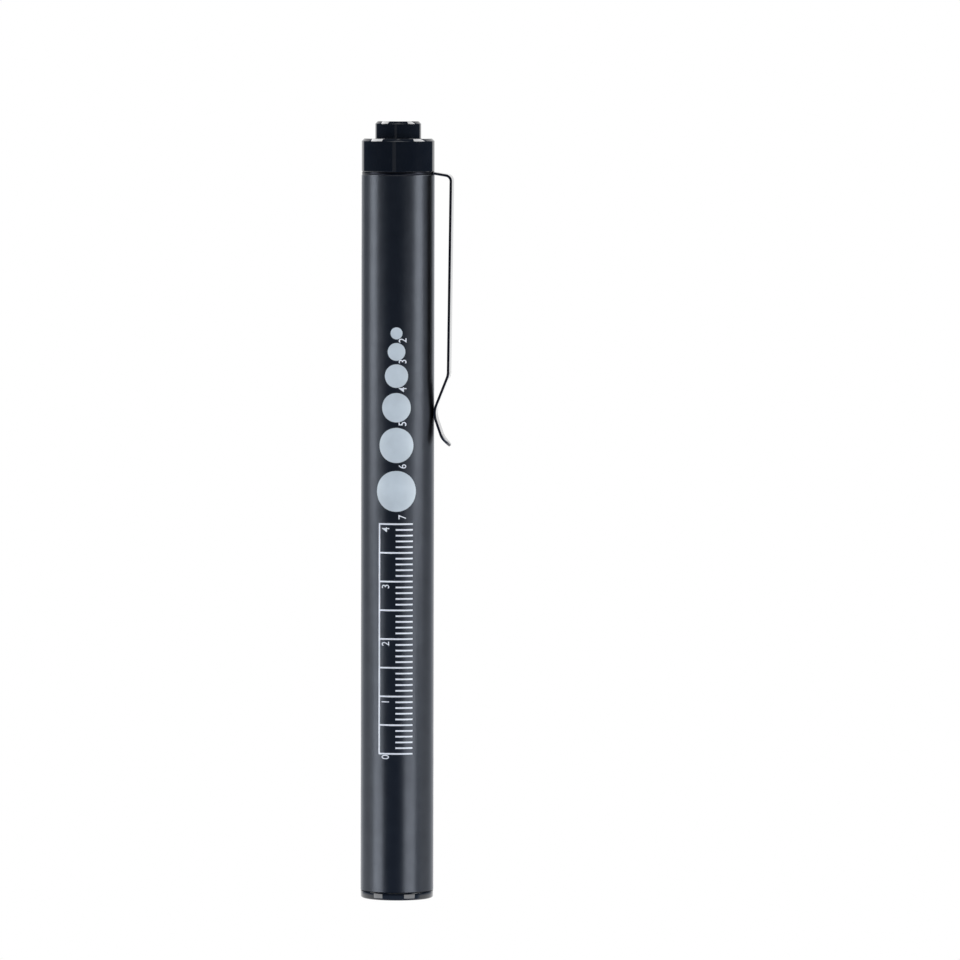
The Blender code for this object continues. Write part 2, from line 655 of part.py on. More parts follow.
def make_clip_ring(material):
    """The clip's split ring, snapped into the neck's relief, with the tab that its arm grows from."""
    outer = BARREL_RADIUS - CLIP_RING_INSET
    inner = RELIEF_RADIUS + SEAT_GAP
    bottom = CLIP_RING_TOP - CLIP_THICKNESS
    profile = [(outer, CLIP_RING_TOP), (outer, bottom), (inner, bottom), (inner, CLIP_RING_TOP)]
    ring = turned("clip_ring", profile, OUTER_STEPS, material)
    half = CLIP_WIDTH / 2
    tab_low = (inner + CLIP_THICKNESS / 2, -half, bottom)
    tab = box("clip_tab", tab_low, (CLIP_RING_TAB, half, CLIP_RING_TOP), TOOLS)
    combine(ring, "UNION", tab)
    split = CLIP_RING_SPLIT / 2
    low = (-BARREL_RADIUS, -split, bottom - CLIP_THICKNESS)
    high = (-inner / 2, split, CLIP_RING_TOP + CLIP_THICKNESS)
    combine(ring, "DIFFERENCE", box("clip_split_cutter", low, high, TOOLS))
    return ring


def clip_path():
    """The middle line of the clip's arm, as (distance from the axis, height)."""
    knee = CLIP_LEVEL - CLIP_STRAIGHT
    pinch = CLIP_LEVEL - CLIP_PINCH
    sweep = CLIP_PINCH_BEND * (1 / cos(radians(20)) - 1)
    touch = BARREL_RADIUS + SEAT_GAP + CLIP_THICKNESS / 2 - sweep
    corners = [
        (CLIP_ROOT, CLIP_LEVEL),
        (BARREL_RADIUS + CLIP_REACH_TOP, CLIP_LEVEL - CLIP_DROP),
        (BARREL_RADIUS + CLIP_REACH_LOW, knee),
        (touch, pinch),
        (BARREL_RADIUS + CLIP_FLARE_REACH, CLIP_LEVEL - CLIP_FLARE),
        (BARREL_RADIUS + CLIP_TIP_REACH, CLIP_LEVEL - CLIP_LENGTH),
    ]
    return rounded_path(corners, [CLIP_TOP_BEND, CLIP_KNEE_BEND, CLIP_PINCH_BEND, CLIP_FLARE_BEND])


def make_clip_arm(material):
    """A spring-steel strip along the clip's path, with a rounded end; its origin is on the flex line."""
    path = clip_path()
    lengths = [0.0]
    for before, after in zip(path, path[1:]):
        lengths.append(lengths[-1] + (after - before).length)
    half = CLIP_WIDTH / 2
    work = bmesh.new()
    rows = []
    for point, length in zip(path, lengths):
        left = lengths[-1] - length
        narrow = half * sqrt(max(1 - (1 - min(left / half, 1)) ** 2, 0.2))
        place = (point.x - CLIP_ROOT, point.y - CLIP_LEVEL)
        rows.append([work.verts.new((place[0], side * narrow, place[1])) for side in (-1, 1)])
    for first, second in zip(rows, rows[1:]):
        work.faces.new((first[0], first[1], second[1], second[0]))
    mesh = bpy.data.meshes.new("clip_arm")
    work.to_mesh(mesh)
    work.free()
    arm = bpy.data.objects.new("clip_arm", mesh)
    arm.location = (CLIP_ROOT, 0, CLIP_LEVEL)
    PARTS.objects.link(arm)
    shell = arm.modifiers.new("Sheet", "SOLIDIFY")
    shell.thickness = CLIP_THICKNESS
    shell.offset = 0
    shell.use_even_offset = True
    mesh.materials.append(material)
    return arm


# ---------------------------------------------------------------- assembly

def make_materials():
    return {
        "barrel": principled("Barrel, dark anodised satin", (0.013, 0.015, 0.022), 0.6, 0.42),
        "gloss": principled("Gloss black lacquer", (0.008, 0.009, 0.012), 0.3, 0.12),
        "clip": principled("Clip, dark nickel", (0.05, 0.052, 0.06), 1.0, 0.25),
        "steel": principled("Nickel-plated steel", (0.60, 0.60, 0.58), 1.0, 0.3),
        "brass": principled("Brass", (0.80, 0.58, 0.25), 1.0, 0.3),
        "nylon": principled("White nylon", (0.75, 0.75, 0.72), 0.0, 0.5),
        "mirror": principled("Aluminised reflector", (0.85, 0.85, 0.87), 1.0, 0.08),
        "clear": principled("Clear window", (0.95, 0.97, 1.0), 0.0, 0.02, 1.0),
        "lamp": principled("Lamp epoxy", (0.93, 0.95, 0.85), 0.0, 0.05, 1.0),
        "sleeve": principled("Cell sleeve", (0.10, 0.22, 0.42), 0.0, 0.3),
        "core": principled("Cell filling", (0.06, 0.06, 0.06), 0.0, 0.9),
    }


def joint_empty(name, location, children):
    """An empty on a joint's axis, which the joint's pieces hang from."""
    empty = bpy.data.objects.new(name, None)
    empty.location = location
    PARTS.objects.link(empty)
    bpy.context.view_layer.update()
    for child in children:
        child.parent = empty
        child.matrix_parent_inverse = empty.matrix_world.inverted()
    return empty


def build():
    looks = make_materials()
    make_barrel(looks["barrel"])
    make_bezel(looks["gloss"])
    make_window(looks["clear"])
    make_reflector(looks["mirror"])
    make_lamp(looks["lamp"])
    make_anode_leg(looks["steel"])
    make_cathode_leg(looks["steel"])
    make_holder(looks["nylon"])
    make_head_contact(looks["brass"])
    names = ["front_cell", "rear_cell"] if CELL_COUNT == 2 else [f"cell_{i + 1}" for i in range(CELL_COUNT)]
    for i, name in enumerate(names):
        make_cell(name, CELLS_BOTTOM + i * CELL_PITCH, looks)

    cap_pieces = [
        make_collar(looks["gloss"]),
        make_ground_washer(looks["brass"]),
        make_switch_base(looks["nylon"]),
        make_rivet(looks["brass"]),
        make_retainer(looks["brass"]),
        coil("return_spring", WASHER_TOP + SEAT_GAP, RETURN_SPRING_TOP, RETURN_SPRING_WIRE,
             RETURN_SPRING_RADIUS, RETURN_SPRING_RADIUS, RETURN_SPRING_TURNS, looks["steel"]),
        coil("battery_spring", CELLS_TOP + SEAT_GAP, BATTERY_SPRING_TOP, BATTERY_SPRING_WIRE,
             BATTERY_SPRING_WIDE, BATTERY_SPRING_NARROW, BATTERY_SPRING_TURNS, looks["steel"]),
    ]
    button_pieces = [make_button(looks["gloss"]), make_thimble(looks["brass"])]
    ring = make_clip_ring(looks["clip"])
    arm = make_clip_arm(looks["clip"])

    press = joint_empty("button_press", (0, 0, COLLAR_TOP), button_pieces)
    turn = joint_empty("tail_cap_turn", (0, 0, BARREL_TOP), [*cap_pieces, press])
    joint_empty("tail_cap_lift", (0, 0, BARREL_TOP), [ring, arm, turn])


clear_scene()
PARTS = new_collection("Diagnostic penlight")
TOOLS = new_collection("Cutters")
build()
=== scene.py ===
"""Looks of the diagnostic penlight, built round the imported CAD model, in metres, in the CAD's frame."""

from math import asin, atan2, ceil, cos, floor, pi, radians, sin, sqrt, tan

import bmesh
import bpy
from mathutils import Matrix, Vector


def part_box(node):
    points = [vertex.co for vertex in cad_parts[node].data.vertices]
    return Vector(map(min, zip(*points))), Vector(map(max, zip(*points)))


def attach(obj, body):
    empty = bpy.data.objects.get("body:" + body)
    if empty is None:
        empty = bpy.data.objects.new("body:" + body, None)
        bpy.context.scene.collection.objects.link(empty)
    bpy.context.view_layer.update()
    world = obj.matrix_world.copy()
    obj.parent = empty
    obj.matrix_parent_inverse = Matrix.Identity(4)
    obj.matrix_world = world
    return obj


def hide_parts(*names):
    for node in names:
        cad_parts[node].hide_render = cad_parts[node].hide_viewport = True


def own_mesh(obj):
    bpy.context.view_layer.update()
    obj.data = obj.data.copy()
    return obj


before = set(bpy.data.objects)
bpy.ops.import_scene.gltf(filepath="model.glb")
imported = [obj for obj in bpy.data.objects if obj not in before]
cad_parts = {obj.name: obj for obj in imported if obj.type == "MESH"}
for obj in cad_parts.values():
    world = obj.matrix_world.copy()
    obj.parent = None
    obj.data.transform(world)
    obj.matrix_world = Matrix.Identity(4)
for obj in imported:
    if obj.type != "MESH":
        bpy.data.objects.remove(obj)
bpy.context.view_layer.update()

MM = 0.001

# ---------------------------------------------------------------- sizes

SEAT_GAP = 0.05 * MM         # the CAD's gap between pieces that rest on each other
EDGE = 0.08 * MM             # the small chamfer on the barrel's and the collar's edges
WELD = 0.0000005             # vertices closer than this are one
TURN_STEPS = 192             # sides of a turned piece

BARREL_LOW, BARREL_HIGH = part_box("barrel_tube")
RING_LOW, RING_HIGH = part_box("clip_ring")
COLLAR_LOW, COLLAR_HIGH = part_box("tail_collar")
BUTTON_LOW, BUTTON_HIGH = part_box("push_button")
LAMP_LOW, LAMP_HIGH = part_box("led_lamp")
REFLECTOR_LOW, REFLECTOR_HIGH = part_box("reflector")
RETURN_LOW, RETURN_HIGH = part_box("return_spring")
BATTERY_LOW, BATTERY_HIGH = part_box("battery_spring")
THIMBLE_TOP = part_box("moving_contact")[1].z
WINDOW_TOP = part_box("lamp_window")[1].z
BEZEL_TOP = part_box("head_bezel")[1].z
WASHER_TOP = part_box("earth_washer")[1].z

RADIUS = BARREL_HIGH.x
BORE_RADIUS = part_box("lamp_holder")[1].x + SEAT_GAP
FITTED_RADIUS = BORE_RADIUS - SEAT_GAP

# Lamp head
BEZEL_HEIGHT = BARREL_LOW.z - SEAT_GAP
APERTURE_RADIUS = 4.0 * MM
LIP_HEIGHT = 1.0 * MM
WINDOW_SEAT = FITTED_RADIUS - 0.65 * MM
LAMP_RADIUS = 2.5 * MM
REFLECTOR_WALL = 0.4 * MM
POST_OFFSET = 1.3 * MM       # the lamp's post and cup, either side of its axis
CUP_OFFSET = -0.3 * MM

# Tail cap
COLLAR_BOTTOM = RING_HIGH.z + SEAT_GAP
COLLAR_LIP = 1.5 * MM
COLLAR_CHAMFER = 0.45 * MM
NECK_RADIUS = BORE_RADIUS - 0.1 * MM
RELIEF_RADIUS = NECK_RADIUS - 0.25 * MM
RELIEF_LENGTH = 1.35 * MM
LOWER_ROOM = NECK_RADIUS - 0.65 * MM
UPPER_ROOM = LOWER_ROOM - 0.3 * MM
FLANGE_RADIUS = UPPER_ROOM - 0.1 * MM
BUTTON_RADIUS = FLANGE_RADIUS - 0.35 * MM
BUTTON_BORE = BUTTON_RADIUS + 0.12 * MM
BUTTON_FLANGE = 0.9 * MM
BUTTON_CHAMFER = 0.45 * MM
STEM_RADIUS = 2.0 * MM
RETURN_WIRE = 0.4 * MM
BATTERY_WIRE = 0.5 * MM
BATTERY_TIP_RADIUS = 2.2 * MM
COIL_STEPS = 40              # points in each turn of a spring

# Thread
THREAD_PITCH = 1.0 * MM
THREAD_LEAD = 1.3 * MM
THREAD_HALF = 0.36 * MM
THREAD_START = COLLAR_LOW.z + THREAD_LEAD
GROOVE_ROOM = 0.06 * MM      # the tube's thread is cut this much deeper than its bore
# One pitch of the thread, as (place along the pitch, height), both in mm
THREAD_SHAPE = [
    (-0.38, 0), (-0.33, 0.03), (-0.08, 0.27), (-0.04, 0.3),
    (0.04, 0.3), (0.08, 0.27), (0.33, 0.03), (0.38, 0),
]

# Pocket clip
CLIP_THICKNESS = RING_HIGH.z - RING_LOW.z
CLIP_LEVEL = (RING_LOW.z + RING_HIGH.z) / 2
CLIP_WIDTH = 4.0 * MM
CLIP_SPLIT = 1.2 * MM        # the gap in the ring
RING_RADIUS = RADIUS - 0.05 * MM
RING_STEPS = 240
CLIP_ROOT = RING_RADIUS + SEAT_GAP
CURL_BEND = 4.0 * MM         # the curl that touches the barrel: its rounding, and the strip's slope beside it
CURL_SLOPE = radians(20)
CURL_REACH = SEAT_GAP + CLIP_THICKNESS / 2 - CURL_BEND * (1 / cos(CURL_SLOPE) - 1)
# The arm's corners: distance out from the barrel, drop below the ring, and rounding
CLIP_CORNERS = [
    (3.03 * MM, 0.5 * MM, 1.0 * MM),
    (2.6 * MM, 35.1 * MM, 3.0 * MM),
    (CURL_REACH, 41.6 * MM, CURL_BEND),
    (1.5 * MM, 45.9 * MM, 2.5 * MM),
]
CLIP_TIP = (2.85 * MM, 47.4 * MM)
TIP_STEPS = 14

# The print, wrapped on the barrel. Sideways places run round the barrel from the print's middle line.
PRINT_AZIMUTH = radians(3.4)  # the middle line, from -Y towards +X
INK_HEIGHT = 0.012 * MM
INK_SINK = 0.01 * MM
INK_STEP = 0.2 * MM
# The pupil gauge: each circle's number, which is its width, and its centre's and its number's height, in mm
PUPILS = [
    (2, 98.78, 97.56),
    (3, 95.57, 93.9),
    (4, 91.37, 89.03),
    (5, 85.88, 83.08),
    (6, 79.33, 75.68),
    (7, 71.35, 66.85),
]
PUPIL_SPREAD = 0.1 * MM      # how much wider each circle is than its number
PUPIL_DIGIT_FOOT = 1.75 * MM
RULER_ZERO = 25.65 * MM
RULER_LENGTH = 40            # in mm
RULER_LEFT = -3.03 * MM
RULER_RIGHT = 2.97 * MM
TICK_LEFT = -0.08 * MM
LINE_WIDTH = 0.28 * MM
RULER_DIGIT_FOOT = -1.2 * MM
RULER_DIGIT_DROPS = [0.57, 0.95, 0.82, 0.85, 0.95]  # from each centimetre down to its number, in mm
DIGIT_HEIGHT = 1.36 * MM
DIGIT_NARROWING = 0.88
DIGIT_BOLDNESS = 0.003       # in the font's own units


# ---------------------------------------------------------------- material helpers

def material(name, colour, metallic=0.0, roughness=0.5, **more):
    """A Principled material, and its shader. Extra sockets go by name, with _ for a space."""
    made = bpy.data.materials.new(name)
    made.use_nodes = True
    shader = made.node_tree.nodes["Principled BSDF"]
    shader.inputs["Base Color"].default_value = (*colour, 1)
    shader.inputs["Metallic"].default_value = metallic
    shader.inputs["Roughness"].default_value = roughness
    for key, value in more.items():
        shader.inputs[key.replace("_", " ")].default_value = value
    return made, shader


def link(made, source, target):
    made.node_tree.links.new(source, target)


def noise(made, scale, stretch=(1, 1, 1), detail=3.0):
    """A noise texture in the object's own space; scale is in cycles a metre."""
    nodes = made.node_tree.nodes
    place = nodes.new("ShaderNodeTexCoord")
    mapping = nodes.new("ShaderNodeMapping")
    mapping.inputs["Scale"].default_value = stretch
    texture = nodes.new("ShaderNodeTexNoise")
    texture.inputs["Scale"].default_value = scale
    texture.inputs["Detail"].default_value = detail
    link(made, place.outputs["Object"], mapping.inputs["Vector"])
    link(made, mapping.outputs["Vector"], texture.inputs["Vector"])
    return texture.outputs["Fac"]


def ranged(made, value, low, high, start=0.3, end=0.7):
    """A value mapped from start and end to low and high."""
    item = made.node_tree.nodes.new("ShaderNodeMapRange")
    item.inputs["From Min"].default_value = start
    item.inputs["From Max"].default_value = end
    item.inputs["To Min"].default_value = low
    item.inputs["To Max"].default_value = high
    link(made, value, item.inputs["Value"])
    return item.outputs["Result"]


def mixed(made, factor, dark, light):
    """A colour between two, which may each be a colour or another node's output."""
    item = made.node_tree.nodes.new("ShaderNodeMix")
    item.data_type = "RGBA"
    for socket, colour in ((6, dark), (7, light)):
        if isinstance(colour, bpy.types.NodeSocket):
            link(made, colour, item.inputs[socket])
        else:
            item.inputs[socket].default_value = (*colour, 1)
    link(made, factor, item.inputs[0])
    return item.outputs[2]


def mottled(made, shader, scale, dark, light, detail=3.0):
    """Gives a shader a colour that drifts between two."""
    tone = ranged(made, noise(made, scale, detail=detail), 0, 1)
    link(made, mixed(made, tone, dark, light), shader.inputs["Base Color"])


def uneven(made, shader, scale, low, high, stretch=(1, 1, 1), detail=3.0):
    """Gives a shader a roughness that drifts between two."""
    link(made, ranged(made, noise(made, scale, stretch, detail), low, high), shader.inputs["Roughness"])


def shaded(colour, share):
    return tuple(part * share for part in colour)


def bumped(made, shader, height, distance, strength):
    """Gives a shader a bump from a height node."""
    bump = made.node_tree.nodes.new("ShaderNodeBump")
    bump.inputs["Strength"].default_value = strength
    bump.inputs["Distance"].default_value = distance
    link(made, height, bump.inputs["Height"])
    link(made, bump.outputs["Normal"], shader.inputs["Normal"])


def above(made, height, blend):
    """A mask that is 1 above a height of the object, and 0 below it."""
    nodes = made.node_tree.nodes
    place = nodes.new("ShaderNodeTexCoord")
    split = nodes.new("ShaderNodeSeparateXYZ")
    link(made, place.outputs["Object"], split.inputs["Vector"])
    return ranged(made, split.outputs["Z"], 0, 1, height - blend, height + blend)


# ---------------------------------------------------------------- materials

def satin_barrel():
    """Dark anodised aluminium: fine turning lines round it, and a mottled sheen."""
    made, shader = material("Barrel, dark anodised satin", (0.05, 0.0545, 0.062), 1.0, 0.305)
    shader.inputs["Specular Tint"].default_value = (0.85, 0.87, 0.9, 1)
    mottled(made, shader, 350, (0.047, 0.051, 0.058), (0.054, 0.0585, 0.0665), detail=5)
    uneven(made, shader, 900, 0.29, 0.32, stretch=(1, 1, 0.4))
    bumped(made, shader, noise(made, 250, (1, 1, 80), 2), 0.004 * MM, 0.35)
    return made


def gloss_lacquer():
    """Glossy black lacquer with a slight orange peel and faint handling marks."""
    made, shader = material("Gloss black lacquer", (0.006, 0.008, 0.012), 0.0, 0.03)
    mottled(made, shader, 600, (0.005, 0.007, 0.011), (0.007, 0.009, 0.013))
    uneven(made, shader, 1800, 0.02, 0.04, detail=6)
    bumped(made, shader, noise(made, 1500, detail=1), 0.001 * MM, 0.15)
    return made


def clip_finish(name, tint, low, high):
    """Dark plate on spring steel, with fine lines along the strip; its roughness goes from low to high."""
    made, shader = material(name, tint, 1.0, (low + high) / 2)
    mottled(made, shader, 500, shaded(tint, 0.87), shaded(tint, 1.13), detail=4)
    uneven(made, shader, 700, low, high, stretch=(1, 12, 0.1))
    bumped(made, shader, noise(made, 900, (1, 12, 0.05), 2), 0.002 * MM, 0.3)
    return made


def plain_metal(name, colour, roughness):
    """A bare or plated metal: slightly uneven in colour and sheen, with fine marks."""
    made, shader = material(name, colour, 1.0, roughness)
    mottled(made, shader, 450, shaded(colour, 0.82), colour, detail=5)
    uneven(made, shader, 1200, roughness * 0.75, roughness * 1.35)
    bumped(made, shader, noise(made, 1500, detail=2), 0.003 * MM, 0.3)
    return made


def moulded(name, colour, roughness, grain=1500):
    """A moulded or printed plastic surface with a fine grain."""
    made, shader = material(name, colour, 0.0, roughness)
    mottled(made, shader, 300, shaded(colour, 0.86), colour, detail=4)
    uneven(made, shader, grain, roughness * 0.85, roughness * 1.2)
    bumped(made, shader, noise(made, grain, detail=2), 0.004 * MM, 0.3)
    return made


def cell_wrap():
    """The cells' printed sleeves: blue, with a silver band at the positive end of each cell."""
    blue, silver = (0.03, 0.11, 0.3), (0.55, 0.56, 0.58)
    made, shader = material("Cell sleeve", blue, 0.0, 0.25, Coat_Weight=0.5)
    colour = silver
    for sleeve in ("front_cell_sleeve", "rear_cell_sleeve"):
        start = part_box(sleeve)[0].z
        colour = mixed(made, above(made, start - 1 * MM, 0.1 * MM), colour, silver)
        colour = mixed(made, above(made, start + 9 * MM, 0.1 * MM), colour, blue)
    link(made, colour, shader.inputs["Base Color"])
    uneven(made, shader, 700, 0.2, 0.32)
    return made


def clear(name, colour, roughness, ior):
    """A clear material, faintly uneven inside."""
    made, shader = material(name, colour, 0.0, roughness, Transmission_Weight=1.0, IOR=ior)
    mottled(made, shader, 250, shaded(colour, 0.97), colour)
    uneven(made, shader, 900, roughness * 0.5, roughness * 1.5)
    return made


def die_glow():
    """The lamp's yellow phosphor."""
    made, shader = material("Lamp die", (0.85, 0.7, 0.12), 0.0, 0.5)
    mottled(made, shader, 9000, (0.75, 0.6, 0.1), (0.9, 0.76, 0.2))
    return made


LOOKS = {
    "barrel": satin_barrel(),
    "gloss": gloss_lacquer(),
    "clip": clip_finish("Clip, dark nickel", (0.07, 0.071, 0.08), 0.08, 0.16),
    # The ring's tint is the arm's dark nickel made five times darker: painted shade of the seam between the
    # collar and the barrel.
    "clip_ring_with_painted_shade": clip_finish("Clip's ring, dark nickel with painted seam shade", (0.014, 0.015, 0.019), 0.26, 0.34),
    "steel": plain_metal("Nickel-plated steel", (0.62, 0.61, 0.58), 0.25),
    "brass": plain_metal("Brass", (0.78, 0.56, 0.24), 0.28),
    "spring": plain_metal("Spring wire", (0.5, 0.5, 0.5), 0.3),
    "mirror": plain_metal("Aluminised reflector", (0.88, 0.88, 0.9), 0.07),
    "nylon": moulded("White nylon", (0.72, 0.72, 0.69), 0.5),
    "core": moulded("Cell filling", (0.05, 0.05, 0.055), 0.85, 4000),
    "sleeve": cell_wrap(),
    "window": clear("Clear window", (0.97, 0.98, 1.0), 0.02, 1.5),
    "lamp": clear("Lamp epoxy", (0.96, 0.97, 0.93), 0.03, 1.55),
    "die": die_glow(),
    "disc_ink": moulded("Pupil gauge ink", (0.63, 0.695, 0.72), 0.45, 2500),
    "line_ink": moulded("Ruler and number ink", (0.92, 0.94, 0.97), 0.45, 2500),
}


# ---------------------------------------------------------------- mesh helpers

def clamp(value, low=0, high=1):
    return min(max(value, low), high)


def piece(name, work, look, body, stands_for=None, crease=30, weighted=True):
    """Makes a bmesh a smooth piece that rides on a body, in place of a CAD node if it stands for one."""
    bmesh.ops.remove_doubles(work, verts=work.verts, dist=WELD)
    loose = [vertex for vertex in work.verts if not vertex.link_faces]
    bmesh.ops.delete(work, geom=loose, context="VERTS")
    bmesh.ops.recalc_face_normals(work, faces=work.faces)
    mesh = bpy.data.meshes.new(name)
    work.to_mesh(mesh)
    work.free()
    mesh.shade_smooth()
    mesh.set_sharp_from_angle(angle=radians(crease))
    mesh.materials.append(LOOKS[look])
    item = bpy.data.objects.new(name, mesh)
    bpy.context.scene.collection.objects.link(item)
    if weighted:
        item.modifiers.new("Face weights", "WEIGHTED_NORMAL").keep_sharp = True
    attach(item, body)
    if stands_for:
        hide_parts(stands_for)
    return item


def rounded(corner, before, after, bend, steps):
    """The arc that rounds off a corner between its two neighbours, all in one plane."""
    back = (before - corner).normalized()
    ahead = (after - corner).normalized()
    half = back.angle(ahead) / 2
    centre = corner + (back + ahead).normalized() * (bend / sin(half))
    first = corner + back * (bend / tan(half)) - centre
    last = corner + ahead * (bend / tan(half)) - centre
    turn = atan2(first.x * last.y - first.y * last.x, first.dot(last))
    return [centre + Matrix.Rotation(turn * i / steps, 2) @ first for i in range(steps + 1)]


def profile(corners, closed=True, steps=5):
    """Points through corners, each (radius, height) or (radius, height, rounding)."""
    places = [Vector(corner[:2]) for corner in corners]
    points = []
    for i, corner in enumerate(corners):
        ends = i in (0, len(corners) - 1) and not closed
        if len(corner) == 2 or ends:
            points.append(places[i])
        else:
            after = places[(i + 1) % len(places)]
            points += rounded(places[i], places[i - 1], after, corner[2], steps)
    return points


def bridge(work, first, second):
    """Faces between two rings of vertices, either of which may be one vertex on the axis."""
    for i in range(len(first)):
        corners = list(dict.fromkeys((first[i - 1], second[i - 1], second[i], first[i])))
        if len(corners) > 2:
            work.faces.new(corners)


def revolve(work, points, closed=True, steps=TURN_STEPS):
    """Turns a profile about Z, and gives back its rings."""
    rings = []
    for radius, height in points:
        if radius < WELD:
            rings.append([work.verts.new((0, 0, height))] * steps)
            continue
        angles = [2 * pi * i / steps for i in range(steps)]
        rings.append([work.verts.new((radius * cos(a), radius * sin(a), height)) for a in angles])
    for first, second in zip(rings, rings[1:]):
        bridge(work, first, second)
    if closed:
        bridge(work, rings[-1], rings[0])
    return rings


def loft(work, rings):
    """Faces from ring to ring, with both ends closed."""
    for first, second in zip(rings, rings[1:]):
        bridge(work, first, second)
    work.faces.new(rings[0])
    work.faces.new(rings[-1])


def turned(name, corners, look, body, stands_for=None, closed=True, steps=TURN_STEPS):
    """A piece turned about Z from its profile's corners."""
    work = bmesh.new()
    revolve(work, profile(corners, closed), closed, steps)
    return piece(name, work, look, body, stands_for)


def block(name, centre, size, bevel, look):
    """A small block with softened edges, fixed in the barrel."""
    work = bmesh.new()
    bmesh.ops.create_cube(work, size=1, matrix=Matrix.Translation(centre) @ Matrix.Diagonal((*size, 1)))
    bmesh.ops.bevel(work, geom=work.edges[:], offset=bevel, segments=2, affect="EDGES")
    return piece(name, work, look, "barrel")


def thread_height(place):
    """The thread's height at a place along its pitch, which repeats."""
    place = (place / THREAD_PITCH + 0.5) % 1 * THREAD_PITCH - THREAD_PITCH / 2
    for (low, start), (high, end) in zip(THREAD_SHAPE, THREAD_SHAPE[1:]):
        if low * MM <= place <= high * MM:
            return (start + (end - start) * (place / MM - low) / (high - low)) * MM
    return 0.0


def threaded_wall(work, radius, low, high, start, end):
    """A wall with a right-handed thread standing out of it, whose ridge runs between start and end."""
    turns = ceil((high - low) / THREAD_PITCH) + 2
    first = floor(low / THREAD_PITCH) - 1
    columns = []
    for i in range(TURN_STEPS):
        share = i / TURN_STEPS
        column = []
        for turn in range(turns + 1):
            ridge = (first + turn + share) * THREAD_PITCH
            rise = clamp((ridge - start) / THREAD_PITCH * 2) * clamp((end - ridge) / THREAD_PITCH * 2)
            for place, _ in THREAD_SHAPE:
                height = clamp(ridge + place * MM, low, high)
                out = radius + rise * thread_height(height - ridge)
                angle = 2 * pi * share
                column.append(work.verts.new((out * cos(angle), out * sin(angle), height)))
        columns.append(column)
    shift = len(THREAD_SHAPE)
    for i, column in enumerate(columns):
        following = columns[i + 1] if i + 1 < TURN_STEPS else columns[0][shift:]
        for k in range(min(len(column), len(following)) - 1):
            work.faces.new((column[k], following[k], following[k + 1], column[k + 1]))
    return [column[0] for column in columns], [column[-1] for column in columns]


def tube(work, points, radius, sides=12):
    """A round wire along points, with closed ends."""
    rings = []
    for i, point in enumerate(points):
        ahead = (points[min(i + 1, len(points) - 1)] - points[max(i - 1, 0)]).normalized()
        side = ahead.cross(Vector((0, 0, 1))).normalized()
        up = side.cross(ahead)
        angles = [2 * pi * k / sides for k in range(sides)]
        rings.append([work.verts.new(point + (side * cos(a) + up * sin(a)) * radius) for a in angles])
    loft(work, rings)


# ---------------------------------------------------------------- barrel and lamp head

def make_barrel():
    """The tube, with the female thread cut in its bore at the top."""
    thread_foot = THREAD_START - THREAD_PITCH * 2
    corners = [
        (RADIUS - EDGE, BARREL_HIGH.z),
        (RADIUS, BARREL_HIGH.z - EDGE, 0.04 * MM),
        (RADIUS, BARREL_LOW.z + EDGE, 0.04 * MM),
        (RADIUS - EDGE, BARREL_LOW.z, 0.03 * MM),
        (BORE_RADIUS, BARREL_LOW.z, 0.05 * MM),
        (BORE_RADIUS, thread_foot),
    ]
    work = bmesh.new()
    rings = revolve(work, profile(corners, closed=False), closed=False)
    ends = (THREAD_START - THREAD_PITCH, BARREL_HIGH.z + 1)  # it runs out through the tube's top
    low, high = threaded_wall(work, BORE_RADIUS + GROOVE_ROOM, thread_foot, BARREL_HIGH.z, *ends)
    bridge(work, rings[-1], low)
    bridge(work, high, rings[0])
    return piece("barrel_shell", work, "barrel", "barrel", "barrel_tube")


def make_bezel():
    foot = 0.35 * MM
    corners = [
        (FITTED_RADIUS, BEZEL_TOP, 0.1 * MM),
        (FITTED_RADIUS, BEZEL_HEIGHT),
        (RADIUS, BEZEL_HEIGHT, 0.08 * MM),
        (RADIUS, 0, foot),
        (APERTURE_RADIUS, 0, 0.15 * MM),
        (APERTURE_RADIUS, LIP_HEIGHT),
        (WINDOW_SEAT, LIP_HEIGHT),
        (WINDOW_SEAT, BEZEL_TOP, 0.1 * MM),
    ]
    return turned("bezel_ring", corners, "gloss", "barrel", "head_bezel")


def make_window():
    boss = APERTURE_RADIUS - SEAT_GAP
    flange = WINDOW_SEAT - SEAT_GAP
    step = LIP_HEIGHT + SEAT_GAP
    corners = [
        (0, WINDOW_TOP),
        (flange, WINDOW_TOP, 0.08 * MM),
        (flange, step, 0.08 * MM),
        (boss, step),
        (boss, 0, 0.12 * MM),
        (0, 0),
    ]
    return turned("window_disc", corners, "window", "barrel", "lamp_window", closed=False)


def make_reflector():
    """A dished mirror whose sleeve holds the lamp."""
    wall = REFLECTOR_WALL
    hole = LAMP_RADIUS + SEAT_GAP
    rim = REFLECTOR_LOW.z
    throat = REFLECTOR_HIGH.z - 0.75 * MM
    wide = REFLECTOR_HIGH.x
    dish = []
    for i in range(13):
        share = i / 12
        radius = wide - wall + (hole - wide + wall) * share
        dish.append((radius, rim + (throat - rim) * share - 0.35 * MM * sin(pi * share)))
    shell = [(radius + wall, height + wall * 0.4) for radius, height in reversed(dish[2:-1])]
    corners = [
        (hole + wall, REFLECTOR_HIGH.z),
        *shell,
        (wide, rim + wall),
        (wide, rim),
        *dish,
        (hole, REFLECTOR_HIGH.z),
    ]
    return turned("reflector_dish", corners, "mirror", "barrel", "reflector")


